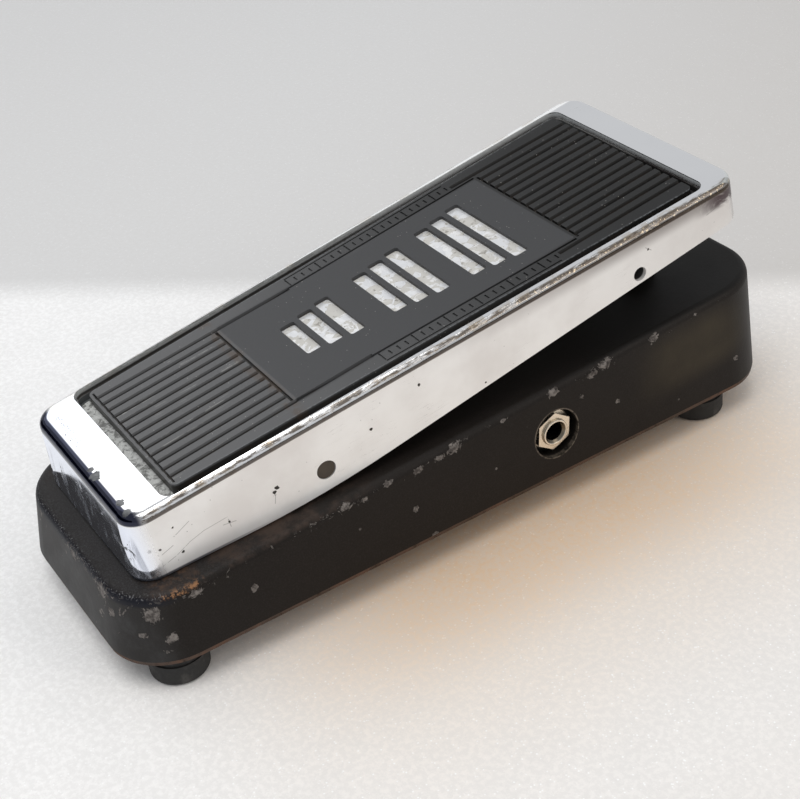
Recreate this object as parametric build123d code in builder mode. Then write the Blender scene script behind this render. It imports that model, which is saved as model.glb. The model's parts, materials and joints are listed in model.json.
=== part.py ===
from build123d import *
import math
import os

# Volume pedal: a cast base with a rocking treadle that drives a rack, a pinion and a potentiometer.
# Millimetres.  +X is the player's right, +Y points to the toe end, +Z is up.
# The origin is on the floor, under the middle of the base.  The treadle is modelled heel down.

# ---------------------------------------------------------------- driving dimensions
BASE_LENGTH = 252.0
BASE_WIDTH = 94.0
BASE_CORNER = 21.0
BASE_DRAFT = 4.5            # degrees, the sides lean inward
HEEL_DRAFT = 8.5            # the heel face leans more
TOE_DRAFT = 1.5
TOP_HEEL_Z = 34.1           # height of the sloped top at the heel end
TOP_TOE_Z = 50.8            # and at the toe end
TOP_EDGE = 2.8              # rounding along the top edge
BASE_WALL = 3.0
FOOT_HEIGHT = 10.6
FOOT_RADIUS = 9.5
FOOT_X = 35.3
FOOT_HEEL_Y = -108.7
FOOT_TOE_Y = 98.1
PLATE = 1.5                 # bottom plate

TILT = 8.5                  # degrees, treadle slope when it rests on the heel
HEEL_Y = -114.7             # top edge of the treadle at the heel
HEEL_Z = 58.8
TREADLE_LENGTH = 226.0
HEEL_HALF = 36.3            # half width at the heel
TOE_HALF = 44.4             # half width at the toe
TREADLE_CORNER = 8.0
TREADLE_EDGE = 2.6
SKIRT_WALL = 3.0
HEEL_FLARE = 8.8            # degrees, so that the heel wall stands upright at rest
SKIRT_HEEL = (-8.0, 22.75)  # place and depth where the skirt's lower edge would start
SKIRT_KNEE = (57.1, 28.36)  # place and depth where its two straight edges would meet
SKIRT_TOE = 15.4
KNEE_RADIUS = 325.0
POCKET_HEEL = 13.5          # recess for the mat
POCKET_TOE = 215.0
POCKET_HEEL_HALF = 35.0
POCKET_TOE_HALF = 40.5
POCKET_DEPTH = 5.2
FLOOR = 2.5

MAT_HEEL = 18.0
MAT_TOE = 212.0
MAT_HEEL_HALF = 31.2
MAT_TOE_HALF = 37.4
MAT_TOP = 0.5               # how far the rib tops lie under the rim
RIB_HEIGHT = 1.0
RIB_PITCH = 4.4
RIB_GROOVE = 1.8            # at the rib tops
RIB_TAPER = 22.0            # degrees, the groove walls lean apart
PANEL_HEEL = 64.2
PANEL_TOE = 170.2
PANEL_HEEL_HALF = 25.4
PANEL_LINE = 0.9            # width of the groove along the panel's sides
PANEL_TOE_HALF = 28.3
STRIP_HEEL = 93.5
STRIP_TOE = 160.0
GLUE = 0.3
FOIL = 0.15
CUT_DEPTH = 1.5             # cut-outs in the mat, with foil at the bottom

PIVOT_ALONG = 61.5          # pivot, along the treadle and below its top
PIVOT_BELOW = 19.8
PIN_R = 3.25
LINK_ALONG = 182.4          # rod that drives the rack
LINK_BELOW = 15.4
LINK_R = 2.4
TRAVEL = 8.8                # degrees of rocking, toe down
RUNNING = 0.05              # radial clearance of a running fit

MODULE = 1.0
PINION_TEETH = 12
PINION_Z = 34.8
RACK_THICK = 4.0
RACK_FRONT = 66.9           # y of the rack's pitch line

JACK_Y = 29.5
JACK_Z = 27.0
JACK_BORE = 3.2
JACK_BUSH_R = 4.75
JACK_RECESS_R = 8.6
JACK_FLOOR_X = 41.3         # floor of the recess around the nut

os.makedirs("parts", exist_ok=True)

# ---------------------------------------------------------------- frame of the treadle
S = math.sin(math.radians(TILT))
C = math.cos(math.radians(TILT))
TREADLE = Plane(origin=(0, HEEL_Y, HEEL_Z), x_dir=(1, 0, 0), z_dir=(0, -S, C))
TREADLE_SIDE = Plane(origin=(0, HEEL_Y, HEEL_Z), x_dir=(0, C, S), z_dir=(1, 0, 0))


def on_treadle(along, below):
    """World y and z of a point given along the treadle and below its top."""
    return HEEL_Y + along * C + below * S, HEEL_Z + along * S - below * C


def half_width(along):
    return HEEL_HALF + (TOE_HALF - HEEL_HALF) * along / TREADLE_LENGTH


def mat_half(along):
    return MAT_HEEL_HALF + (MAT_TOE_HALF - MAT_HEEL_HALF) * (along - MAT_HEEL) / (MAT_TOE - MAT_HEEL)


def panel_half(along):
    return PANEL_HEEL_HALF + (PANEL_TOE_HALF - PANEL_HEEL_HALF) * (along - PANEL_HEEL) / (
        PANEL_TOE - PANEL_HEEL)


PIVOT_Y, PIVOT_Z = on_treadle(PIVOT_ALONG, PIVOT_BELOW)
LINK_Y, LINK_Z = on_treadle(LINK_ALONG, LINK_BELOW)
TOP_SLOPE = (TOP_TOE_Z - TOP_HEEL_Z) / BASE_LENGTH
TOP_ANGLE = math.degrees(math.atan(TOP_SLOPE))
PLATE_TOP = FOOT_HEIGHT + PLATE


def base_top(y):
    """Height of the base's sloped top."""
    return TOP_HEEL_Z + TOP_SLOPE * (y + BASE_LENGTH / 2)


def top_plane(y, lift=0.0):
    """Plane on the base's sloped top, lifted along its normal."""
    a = math.radians(TOP_ANGLE)
    normal = Vector(0, -math.sin(a), math.cos(a))
    return Plane(origin=Vector(0, y, base_top(y)) + normal * lift, x_dir=(1, 0, 0), z_dir=normal)


def finish(builder, label):
    builder.part.label = label
    export_step(builder.part, f"parts/{label}.step")


def tapered(depth, heel, toe, heel_half, toe_half, corner):
    """Tapered outline along the treadle, at a depth below its top."""
    with BuildSketch(TREADLE.offset(-depth)) as outline:
        with BuildLine():
            Polyline((-heel_half, heel), (heel_half, heel), (toe_half, toe), (-toe_half, toe), close=True)
        make_face()
        fillet(outline.vertices(), corner)
    return outline.sketch


def flared(depth, wall):
    """Outline of the treadle at a depth, smaller all round by a wall thickness."""
    heel = wall - depth * math.tan(math.radians(HEEL_FLARE))
    toe = TREADLE_LENGTH - wall
    return tapered(depth, heel, toe, half_width(heel) - wall, half_width(toe) - wall, TREADLE_CORNER - wall)


FEET = [(x, y) for x in (-FOOT_X, FOOT_X) for y in (FOOT_HEEL_Y, FOOT_TOE_Y)]
SCREW_R = 2.0

# ---------------------------------------------------------------- base housing
JACK_BOSS_R = 12.0
JACK_INNER_X = JACK_FLOOR_X - BASE_WALL
ROOF_SLOT = (9.0, 14.0)     # across and along, where the rack passes
ROOF_SLOT_Y = 69.0
BRACKET_HOLES = [(x, y) for x in (-19.0, 19.0) for y in (-11.5, 11.5)]
BRACKET_SCREW_R = 1.5
BLOCK_HEIGHT = 42.0
FOOT_BOSS_R = 5.0
JACK_BOSS = 5.5
FIT = 0.1                   # radial clearance of screw and sleeve holes


def base_block(wall):
    """Drafted block with rounded corners, smaller all round by a wall thickness."""
    side = BLOCK_HEIGHT * math.tan(math.radians(BASE_DRAFT))
    heel = BLOCK_HEIGHT * math.tan(math.radians(HEEL_DRAFT))
    toe = BLOCK_HEIGHT * math.tan(math.radians(TOE_DRAFT))
    with BuildPart() as block:
        with BuildSketch(Plane.XY.offset(PLATE_TOP)):
            RectangleRounded(BASE_WIDTH - 2 * wall, BASE_LENGTH - 2 * wall, BASE_CORNER - wall)
        with BuildSketch(Plane.XY.offset(PLATE_TOP + BLOCK_HEIGHT)):
            with Locations((0, (heel - toe) / 2)):
                RectangleRounded(BASE_WIDTH - 2 * wall - 2 * side, BASE_LENGTH - 2 * wall - heel - toe,
                                 BASE_CORNER - wall)
        loft(ruled=True)
    return block.part


with BuildPart() as base_housing:
    add(base_block(0))
    split(bisect_by=top_plane(0), keep=Keep.BOTTOM)
    rim = base_housing.edges().filter_by(lambda e: e.center().Z > TOP_HEEL_Z - 5)
    fillet(rim, TOP_EDGE)
    hollow = split(base_block(BASE_WALL), bisect_by=top_plane(0, -BASE_WALL), keep=Keep.BOTTOM,
                   mode=Mode.PRIVATE)
    add(hollow, mode=Mode.SUBTRACT)
    for foot_x, foot_y in FEET:
        with BuildSketch(Plane.XY.offset(PLATE_TOP)):
            with Locations((foot_x, foot_y)):
                Circle(FOOT_BOSS_R)
            with Locations((foot_x + math.copysign(4.0, foot_x), foot_y)):
                Rectangle(6.0, 3.0)
        extrude(amount=base_top(foot_y) - PLATE_TOP - 1.5)
        with Locations((foot_x, foot_y, PLATE_TOP)):
            Cylinder(SCREW_R, 2 * 12.0, mode=Mode.SUBTRACT)
    for side in (-1, 1):
        with BuildSketch(Plane.YZ.offset(side * JACK_INNER_X)):
            with Locations((JACK_Y, JACK_Z)):
                Circle(JACK_BOSS_R)
        extrude(amount=side * JACK_BOSS)
        with BuildSketch(Plane.YZ.offset(side * JACK_FLOOR_X)):
            with Locations((JACK_Y, JACK_Z)):
                Circle(JACK_RECESS_R)
        extrude(amount=side * 10, mode=Mode.SUBTRACT)
        with BuildSketch(Plane.YZ.offset(side * 30)):
            with Locations((JACK_Y, JACK_Z)):
                Circle(JACK_BUSH_R + FIT)
        extrude(amount=side * 20, mode=Mode.SUBTRACT)
    with BuildSketch(Plane.XY.offset(30)):
        with Locations((0, ROOF_SLOT_Y)):
            Rectangle(*ROOF_SLOT)
    extrude(amount=30, mode=Mode.SUBTRACT)
    with BuildSketch(top_plane(PIVOT_Y, 1)):
        with Locations(*BRACKET_HOLES):
            Circle(BRACKET_SCREW_R + FIT)
    extrude(amount=-6, mode=Mode.SUBTRACT)
finish(base_housing, "base_housing")

# ---------------------------------------------------------------- bottom plate, feet and their screws
POT_FLANGE_HOLES = [(15.5, 55.0), (15.5, 71.0)]
POT_SCREW_R = 1.5
with BuildPart() as bottom_plate:
    with BuildSketch(Plane.XY.offset(FOOT_HEIGHT)):
        RectangleRounded(BASE_WIDTH - 0.6, BASE_LENGTH - 0.6, BASE_CORNER - 0.3)
        with Locations(*FEET):
            Circle(SCREW_R + FIT, mode=Mode.SUBTRACT)
        with Locations(*POT_FLANGE_HOLES):
            Circle(POT_SCREW_R + FIT, mode=Mode.SUBTRACT)
    extrude(amount=PLATE)
finish(bottom_plate, "bottom_plate")

FOOT_POCKET_R = 5.2
FOOT_FLOOR = 3.0
with BuildPart() as rubber_feet:
    with BuildSketch(Plane.XY):
        with Locations(*FEET):
            Circle(FOOT_RADIUS)
            Circle(FOOT_POCKET_R, mode=Mode.SUBTRACT)
    extrude(amount=FOOT_HEIGHT - FOOT_FLOOR)
    with BuildSketch(Plane.XY.offset(FOOT_HEIGHT - FOOT_FLOOR)):
        with Locations(*FEET):
            Circle(FOOT_RADIUS - 0.6)
            Circle(SCREW_R + FIT, mode=Mode.SUBTRACT)
    extrude(amount=FOOT_FLOOR)
    soles = rubber_feet.edges().group_by(Axis.Z)[0].filter_by(lambda e: e.radius > FOOT_POCKET_R + 1)
    fillet(soles, 1.6)
finish(rubber_feet, "rubber_feet")

WASHER = 0.8
with BuildPart() as foot_washers:
    with BuildSketch(Plane.XY.offset(FOOT_HEIGHT - FOOT_FLOOR - WASHER)):
        with Locations(*FEET):
            Circle(4.6)
            Circle(SCREW_R + FIT, mode=Mode.SUBTRACT)
    extrude(amount=WASHER)
finish(foot_washers, "foot_washers")


def pan_screws(label, head_z, head_r, head_h, shank_r, shank, spots):
    """Cross-recess pan screws with their heads down and their shanks up."""
    with BuildPart() as screws:
        with BuildSketch(Plane.XY.offset(head_z)):
            with Locations(*spots):
                Circle(head_r)
        extrude(amount=-head_h)
        fillet(screws.edges().group_by(Axis.Z)[0], head_h * 0.45)
        with BuildSketch(Plane.XY.offset(head_z)):
            with Locations(*spots):
                Circle(shank_r)
        extrude(amount=shank)
        with BuildSketch(Plane.XY.offset(head_z - head_h)):
            with Locations(*spots):
                Rectangle(head_r * 1.1, 0.8)
                Rectangle(0.8, head_r * 1.1)
        extrude(amount=head_h * 0.5, mode=Mode.SUBTRACT)
    finish(screws, label)


pan_screws("foot_screws", FOOT_HEIGHT - FOOT_FLOOR - WASHER, 3.6, 2.2, SCREW_R, 14.0, FEET)

# ---------------------------------------------------------------- hinge bracket on the base
EAR_OUT = 28.0
EAR = 2.5
EAR_R = 7.5
BUSH_R = 4.75
BRACKET = 2.0
with BuildPart() as hinge_bracket:
    with BuildSketch(top_plane(PIVOT_Y)):
        RectangleRounded(2 * EAR_OUT - 1, 34, 3)
        with Locations(*BRACKET_HOLES):
            Circle(BRACKET_SCREW_R + FIT, mode=Mode.SUBTRACT)
    extrude(amount=BRACKET)
    for side in (-1, 1):
        with BuildSketch(Plane.YZ.offset(side * EAR_OUT)):
            with BuildLine():
                Polyline((PIVOT_Y - 11, base_top(PIVOT_Y - 11)), (PIVOT_Y + 11, base_top(PIVOT_Y + 11)),
                         (PIVOT_Y + EAR_R, PIVOT_Z), (PIVOT_Y - EAR_R, PIVOT_Z), close=True)
            make_face()
            with Locations((PIVOT_Y, PIVOT_Z)):
                Circle(EAR_R)
                Circle(BUSH_R, mode=Mode.SUBTRACT)
        extrude(amount=-side * EAR)
finish(hinge_bracket, "hinge_bracket")

with BuildPart() as bracket_screws:
    with BuildSketch(top_plane(PIVOT_Y, BRACKET)):
        with Locations(*BRACKET_HOLES):
            Circle(2.8)
    bracket_heads = extrude(amount=1.8)
    fillet(bracket_heads.edges().group_by(Axis.Z)[-1], 0.7)
    with BuildSketch(top_plane(PIVOT_Y, BRACKET)):
        with Locations(*BRACKET_HOLES):
            Circle(BRACKET_SCREW_R)
    extrude(amount=-(BRACKET + BASE_WALL + 4.0))
    with BuildSketch(top_plane(PIVOT_Y, BRACKET + 1.0)):
        with Locations(*BRACKET_HOLES):
            Rectangle(3.2, 0.7)
            Rectangle(0.7, 3.2)
    extrude(amount=2.0, mode=Mode.SUBTRACT)
finish(bracket_screws, "bracket_screws")

with BuildPart() as bracket_nuts:
    with BuildSketch(top_plane(PIVOT_Y, -BASE_WALL)):
        with Locations(*BRACKET_HOLES):
            RegularPolygon(3.2, 6)
            Circle(BRACKET_SCREW_R, mode=Mode.SUBTRACT)
    extrude(amount=-2.4)
finish(bracket_nuts, "bracket_nuts")

with BuildPart() as hinge_bushes:
    for side in (-1, 1):
        with BuildSketch(Plane.YZ.offset(side * EAR_OUT)):
            with Locations((PIVOT_Y, PIVOT_Z)):
                Circle(BUSH_R)
                Circle(PIN_R + RUNNING, mode=Mode.SUBTRACT)
        extrude(amount=-side * EAR)
        with BuildSketch(Plane.YZ.offset(side * (EAR_OUT - EAR))):
            with Locations((PIVOT_Y, PIVOT_Z)):
                Circle(6.2)
                Circle(PIN_R + RUNNING, mode=Mode.SUBTRACT)
        extrude(amount=-side * 1.0)
finish(hinge_bushes, "hinge_bushes")

with BuildPart() as pivot_washers:
    for side in (-1, 1):
        with BuildSketch(Plane.YZ.offset(side * (EAR_OUT + 0.15))):
            with Locations((PIVOT_Y, PIVOT_Z)):
                Circle(6.5)
                Circle(PIN_R + 0.15, mode=Mode.SUBTRACT)
        extrude(amount=side * 1.1)
finish(pivot_washers, "pivot_washers")

# ---------------------------------------------------------------- rubber stops on the base
BUMPER_R = 6.0
HEEL_STOP_Y = -92.0
TOE_STOP_Y = 92.0
TOE_STOP_X = 12.0
HEEL_BUMPER = 5.0
TOE_BUMPER = 6.0
with BuildPart() as heel_bumper:
    with BuildSketch(top_plane(HEEL_STOP_Y)):
        Circle(BUMPER_R)
    extrude(amount=HEEL_BUMPER)
    fillet(heel_bumper.edges().group_by(Axis.Z)[-1], 1.0)
finish(heel_bumper, "heel_bumper")

with BuildPart() as toe_bumpers:
    with BuildSketch(top_plane(TOE_STOP_Y)):
        with Locations((-TOE_STOP_X, 0), (TOE_STOP_X, 0)):
            Circle(BUMPER_R)
    extrude(amount=TOE_BUMPER)
    fillet(toe_bumpers.edges().group_by(Axis.Z)[-1], 1.0)
finish(toe_bumpers, "toe_bumpers")

# ---------------------------------------------------------------- jacks, input on +X and output on -X
JACK_MOUTH_X = 45.2
JACK_COUNTERSINK = 0.9
JACK_FLANGE = 1.5
NUT_ACROSS = 12.2
NUT_TURN = 24.6             # degrees, how the nut happens to sit
NUT_THICK = 2.4


def jack(side, name):
    def yz(x):
        return Plane.YZ.offset(side * x)

    with BuildPart() as sleeve:
        with BuildSketch(yz(JACK_INNER_X)):
            with Locations((JACK_Y, JACK_Z)):
                Circle(JACK_BUSH_R)
        extrude(amount=side * (JACK_MOUTH_X - JACK_INNER_X))
        with BuildSketch(yz(JACK_INNER_X)):
            with Locations((JACK_Y, JACK_Z)):
                RectangleRounded(14, 14, 2)
        extrude(amount=-side * JACK_FLANGE)
        with BuildSketch(yz(JACK_INNER_X - JACK_FLANGE)):
            with Locations((JACK_Y, JACK_Z + 6.0)):
                Rectangle(9, 1.2)
        extrude(amount=-side * 14.0)
        with BuildSketch(yz(JACK_INNER_X - JACK_FLANGE)):
            with Locations((JACK_Y, JACK_Z)):
                Circle(JACK_BORE)
        extrude(amount=side * 20, mode=Mode.SUBTRACT)
        mouth = sleeve.edges().filter_by(GeomType.CIRCLE).filter_by(
            lambda e: abs(e.center().X - side * JACK_MOUTH_X) < 0.01)
        mouth = mouth.sort_by(lambda e: e.radius)
        chamfer(mouth[0], JACK_COUNTERSINK)
        fillet(mouth[-1], 0.35)
    finish(sleeve, f"{name}_jack_sleeve")

    with BuildPart() as washer:
        with BuildSketch(yz(JACK_FLOOR_X)):
            with Locations((JACK_Y, JACK_Z)):
                Circle(7.4)
                Circle(JACK_BUSH_R, mode=Mode.SUBTRACT)
        extrude(amount=side * 0.6)
    finish(washer, f"{name}_jack_washer")

    with BuildPart() as nut:
        with BuildSketch(yz(JACK_FLOOR_X + 0.6)):
            with Locations((JACK_Y, JACK_Z)):
                RegularPolygon(NUT_ACROSS / 2, 6, major_radius=False, rotation=NUT_TURN)
                Circle(JACK_BUSH_R, mode=Mode.SUBTRACT)
        extrude(amount=side * NUT_THICK)
    finish(nut, f"{name}_jack_nut")

    with BuildPart() as stack:
        with BuildSketch(yz(JACK_INNER_X - JACK_FLANGE - 5.0)):
            with Locations((JACK_Y, JACK_Z + 8.6)):
                Rectangle(8, 4.0)
        extrude(amount=-side * 8.0)
    finish(stack, f"{name}_jack_stack")

    blade_x = JACK_INNER_X - JACK_FLANGE - 13.0
    blade_z = JACK_Z + 9.0
    with BuildPart() as springs:
        with BuildSketch(Plane.XZ.offset(-JACK_Y)):
            with BuildLine():
                Polyline((side * (blade_x - 0.32), blade_z), (side * (blade_x - 3.0), blade_z),
                         (side * (blade_x - 7.5), JACK_Z + 4.2), (side * (blade_x - 10.0), JACK_Z + 5.8))
                offset(amount=0.3, side=Side.BOTH)
            make_face()
        extrude(amount=2.0, both=True)
        with BuildSketch(Plane.XY.offset(blade_z + 0.8)):
            with Locations((side * (blade_x - 2.0), JACK_Y)):
                Rectangle(4.0, 3.0)
        extrude(amount=0.6)
    finish(springs, f"{name}_jack_springs")


jack(1, "input")
jack(-1, "output")

# ---------------------------------------------------------------- potentiometer on its bracket
POT_Y = RACK_FRONT - MODULE * PINION_TEETH / 2
POT_PLATE_X = 7.0
POT_PLATE = 1.5
POT_PLATE_TOP = 42.6        # height of the upright plate's top
POT_PLATE_Y = 63.0
POT_PLATE_LENGTH = 26.0
POT_R = 8.25
POT_DEPTH = 8.0
POT_BUSH_R = 3.5
SHAFT_R = 3.0
GUIDE_BACK = 72.2
GUIDE_Z = 23.6
GUIDE_HEIGHT = 16.0
GUIDE_SCREWS = [(73.6, GUIDE_Z + 3.5), (73.6, GUIDE_Z + GUIDE_HEIGHT - 3.5)]
with BuildPart() as pot_bracket:
    with BuildSketch(Plane.YZ.offset(POT_PLATE_X)):
        with Locations((POT_PLATE_Y, (PLATE_TOP + POT_PLATE_TOP) / 2)):
            Rectangle(POT_PLATE_LENGTH, POT_PLATE_TOP - PLATE_TOP)
        with Locations((POT_Y, PINION_Z)):
            Circle(POT_BUSH_R + 0.05, mode=Mode.SUBTRACT)
        with Locations(*GUIDE_SCREWS):
            Circle(1.3, mode=Mode.SUBTRACT)
    extrude(amount=POT_PLATE)
    with BuildSketch(Plane.XY.offset(PLATE_TOP)):
        with Locations((POT_PLATE_X + 7.0, POT_PLATE_Y)):
            Rectangle(14.0, POT_PLATE_LENGTH)
        with Locations(*POT_FLANGE_HOLES):
            Circle(POT_SCREW_R + FIT, mode=Mode.SUBTRACT)
    extrude(amount=POT_PLATE)
finish(pot_bracket, "pot_bracket")

pan_screws("pot_bracket_screws", FOOT_HEIGHT, 2.8, 1.8, POT_SCREW_R, 7.0, POT_FLANGE_HOLES)

with BuildPart() as pot_bracket_nuts:
    with BuildSketch(Plane.XY.offset(PLATE_TOP + POT_PLATE)):
        with Locations(*POT_FLANGE_HOLES):
            RegularPolygon(3.2, 6)
            Circle(POT_SCREW_R, mode=Mode.SUBTRACT)
    extrude(amount=2.2)
finish(pot_bracket_nuts, "pot_bracket_nuts")

POT_FACE_X = POT_PLATE_X + POT_PLATE
with BuildPart() as pot_body:
    with BuildSketch(Plane.YZ.offset(POT_FACE_X)):
        with Locations((POT_Y, PINION_Z)):
            Circle(POT_R)
    extrude(amount=POT_DEPTH)
    with BuildSketch(Plane.YZ.offset(POT_FACE_X)):
        with Locations((POT_Y, PINION_Z)):
            Circle(POT_BUSH_R)
    extrude(amount=-5.0)
    with BuildSketch(Plane.YZ.offset(POT_FACE_X + 1.2)):
        with Locations((POT_Y, PINION_Z)):
            Circle(POT_R - 1.4)
    extrude(amount=POT_DEPTH - 2.4, mode=Mode.SUBTRACT)
    with BuildSketch(Plane.YZ.offset(POT_FACE_X - 6)):
        with Locations((POT_Y, PINION_Z)):
            Circle(SHAFT_R + RUNNING)
    extrude(amount=8, mode=Mode.SUBTRACT)
    with BuildSketch(Plane.YZ.offset(POT_FACE_X + 1.0)):
        with Locations((POT_Y - 1.0, PINION_Z - POT_R - 0.4)):
            Rectangle(14.0, 3.0)
    extrude(amount=2.0)
finish(pot_body, "pot_body")

TERMINAL_Y = [POT_Y - 6.0, POT_Y - 1.0, POT_Y + 4.0]
TERMINAL_Z = PINION_Z - POT_R - 1.9
with BuildPart() as pot_terminals:
    with BuildSketch(Plane.XY.offset(TERMINAL_Z)):
        with Locations(*[(POT_FACE_X + 2.0, y) for y in TERMINAL_Y]):
            Rectangle(0.6, 2.2)
    extrude(amount=-4.5)
finish(pot_terminals, "pot_terminals")

with BuildPart() as pot_washer:
    with BuildSketch(Plane.YZ.offset(POT_PLATE_X)):
        with Locations((POT_Y, PINION_Z)):
            Circle(5.6)
            Circle(POT_BUSH_R + 0.05, mode=Mode.SUBTRACT)
    extrude(amount=-0.6)
finish(pot_washer, "pot_washer")

with BuildPart() as pot_nut:
    with BuildSketch(Plane.YZ.offset(POT_PLATE_X - 0.6)):
        with Locations((POT_Y, PINION_Z)):
            RegularPolygon(5.0, 6, major_radius=False)
            Circle(POT_BUSH_R, mode=Mode.SUBTRACT)
    extrude(amount=-2.0)
finish(pot_nut, "pot_nut")

# ---------------------------------------------------------------- rack guide
GUIDE_GAP = RACK_THICK / 2 + 0.3
with BuildPart() as rack_guide:
    with BuildSketch(Plane.XY.offset(GUIDE_Z)):
        with Locations(((POT_PLATE_X - 4.5) / 2, 72.6)):
            Rectangle(POT_PLATE_X + 4.5, 4.8)
        with Locations((0, (70.0 + GUIDE_BACK) / 2)):
            Rectangle(2 * GUIDE_GAP, GUIDE_BACK - 70.0, mode=Mode.SUBTRACT)
    extrude(amount=GUIDE_HEIGHT)
    with BuildSketch(Plane.YZ.offset(POT_PLATE_X)):
        with Locations(*GUIDE_SCREWS):
            Circle(1.25)
    extrude(amount=-5.0, mode=Mode.SUBTRACT)
finish(rack_guide, "rack_guide")

with BuildPart() as guide_screws:
    with BuildSketch(Plane.YZ.offset(POT_FACE_X)):
        with Locations(*GUIDE_SCREWS):
            Circle(2.4)
    guide_heads = extrude(amount=1.6)
    fillet(guide_heads.edges().group_by(Axis.X)[-1], 0.6)
    with BuildSketch(Plane.YZ.offset(POT_FACE_X)):
        with Locations(*GUIDE_SCREWS):
            Circle(1.2)
    extrude(amount=-6.3)
    with BuildSketch(Plane.YZ.offset(POT_FACE_X + 0.9)):
        with Locations(*GUIDE_SCREWS):
            Rectangle(3.0, 0.6)
            Rectangle(0.6, 3.0)
    extrude(amount=1.0, mode=Mode.SUBTRACT)
finish(guide_screws, "guide_screws")

# ---------------------------------------------------------------- treadle casting
SKIRT_LIMIT = 34.0
BOSS_END = 29.5             # inner ends of the pivot bosses
LINK_BOSS_X = 29.0
STOP_R = 5.0
HEEL_STOP_ALONG = 20.2
HEEL_STOP_END = 19.7        # depth of the stop boss ends below the treadle's top
TOE_STOP_ALONG = 204.4
TOE_STOP_END = 12.2
with BuildPart() as treadle_casting:
    loft([flared(0, 0), flared(SKIRT_LIMIT, 0)], ruled=True)
    with BuildSketch(TREADLE_SIDE.offset(-60)) as profile:
        with BuildLine():
            Polyline((SKIRT_HEEL[0], 0), (TREADLE_LENGTH + 1, 0), (TREADLE_LENGTH + 1, -SKIRT_TOE),
                     (SKIRT_KNEE[0], -SKIRT_KNEE[1]), (SKIRT_HEEL[0], -SKIRT_HEEL[1]), close=True)
        make_face()
        fillet(profile.vertices().sort_by(Axis.Y)[0], KNEE_RADIUS)
    extrude(amount=120, mode=Mode.INTERSECT)
    top_face = max(treadle_casting.faces(), key=lambda f: (f.center() - TREADLE.origin).dot(TREADLE.z_dir))
    fillet(top_face.edges(), TREADLE_EDGE)
    loft([flared(POCKET_DEPTH + FLOOR, SKIRT_WALL), flared(SKIRT_LIMIT, SKIRT_WALL)], ruled=True,
         mode=Mode.SUBTRACT)
    pocket = tapered(0, POCKET_HEEL, POCKET_TOE, POCKET_HEEL_HALF, POCKET_TOE_HALF, 4.0)
    extrude(pocket, amount=-POCKET_DEPTH, mode=Mode.SUBTRACT)
    for side in (-1, 1):
        with BuildSketch(Plane.YZ.offset(side * BOSS_END)):
            with Locations((PIVOT_Y, PIVOT_Z)):
                Circle(6.5)
        extrude(amount=side * (half_width(PIVOT_ALONG) - BOSS_END - 1.0))
        with BuildSketch(Plane.YZ.offset(side * LINK_BOSS_X)):
            with Locations((LINK_Y, LINK_Z)):
                Circle(3.6)
        extrude(amount=side * (half_width(LINK_ALONG) - LINK_BOSS_X - 1.0))
        with BuildSketch(TREADLE.offset(-(POCKET_DEPTH + FLOOR))):
            with Locations((side * 20.0, 115.0)):
                Rectangle(2.4, 205.0)
        extrude(amount=-2.4)
    with BuildSketch(TREADLE.offset(-POCKET_DEPTH - 1)):
        with Locations((0, HEEL_STOP_ALONG)):
            Circle(STOP_R)
    extrude(amount=-(HEEL_STOP_END - POCKET_DEPTH - 1))
    with BuildSketch(TREADLE.offset(-POCKET_DEPTH - 1)):
        with Locations((-TOE_STOP_X, TOE_STOP_ALONG), (TOE_STOP_X, TOE_STOP_ALONG)):
            Circle(STOP_R)
    extrude(amount=-(TOE_STOP_END - POCKET_DEPTH - 1))
    with BuildSketch(Plane.YZ.offset(-60)):
        with Locations((PIVOT_Y, PIVOT_Z)):
            Circle(PIN_R + 0.02)
        with Locations((LINK_Y, LINK_Z)):
            Circle(LINK_R + 0.05)
    extrude(amount=120, mode=Mode.SUBTRACT)
finish(treadle_casting, "treadle_casting")

# ---------------------------------------------------------------- pivot pin, link rod and their clips
PIN_HALF = half_width(PIVOT_ALONG) - 0.15
CLIP_X = EAR_OUT - EAR - 1.0 - 0.3
CLIP = 1.0
GROOVE = 0.6
with BuildPart() as pivot_pin:
    with BuildSketch(Plane.YZ.offset(-PIN_HALF)):
        with Locations((PIVOT_Y, PIVOT_Z)):
            Circle(PIN_R)
    extrude(amount=2 * PIN_HALF)
    chamfer(pivot_pin.edges().filter_by(GeomType.CIRCLE), 0.3)
    for side in (-1, 1):
        with BuildSketch(Plane.YZ.offset(side * CLIP_X)):
            with Locations((PIVOT_Y, PIVOT_Z)):
                Circle(PIN_R + 1)
                Circle(PIN_R - GROOVE, mode=Mode.SUBTRACT)
        extrude(amount=-side * (CLIP + 0.1), mode=Mode.SUBTRACT)
finish(pivot_pin, "pivot_pin")


def clips(label, y, z, bore, outer, place_x, thick):
    """Two open retaining rings around a cross pin."""
    with BuildPart() as rings:
        for x in (-place_x, place_x):
            with BuildSketch(Plane.YZ.offset(x)):
                with Locations((y, z)):
                    Circle(outer)
                    Circle(bore, mode=Mode.SUBTRACT)
                with Locations((y, z - outer)):
                    Rectangle(bore * 1.5, 2 * outer, mode=Mode.SUBTRACT)
            extrude(amount=-math.copysign(thick, x))
    finish(rings, label)


clips("pivot_clips", PIVOT_Y, PIVOT_Z, PIN_R - GROOVE + 0.03, 5.6, CLIP_X, CLIP)

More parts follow.
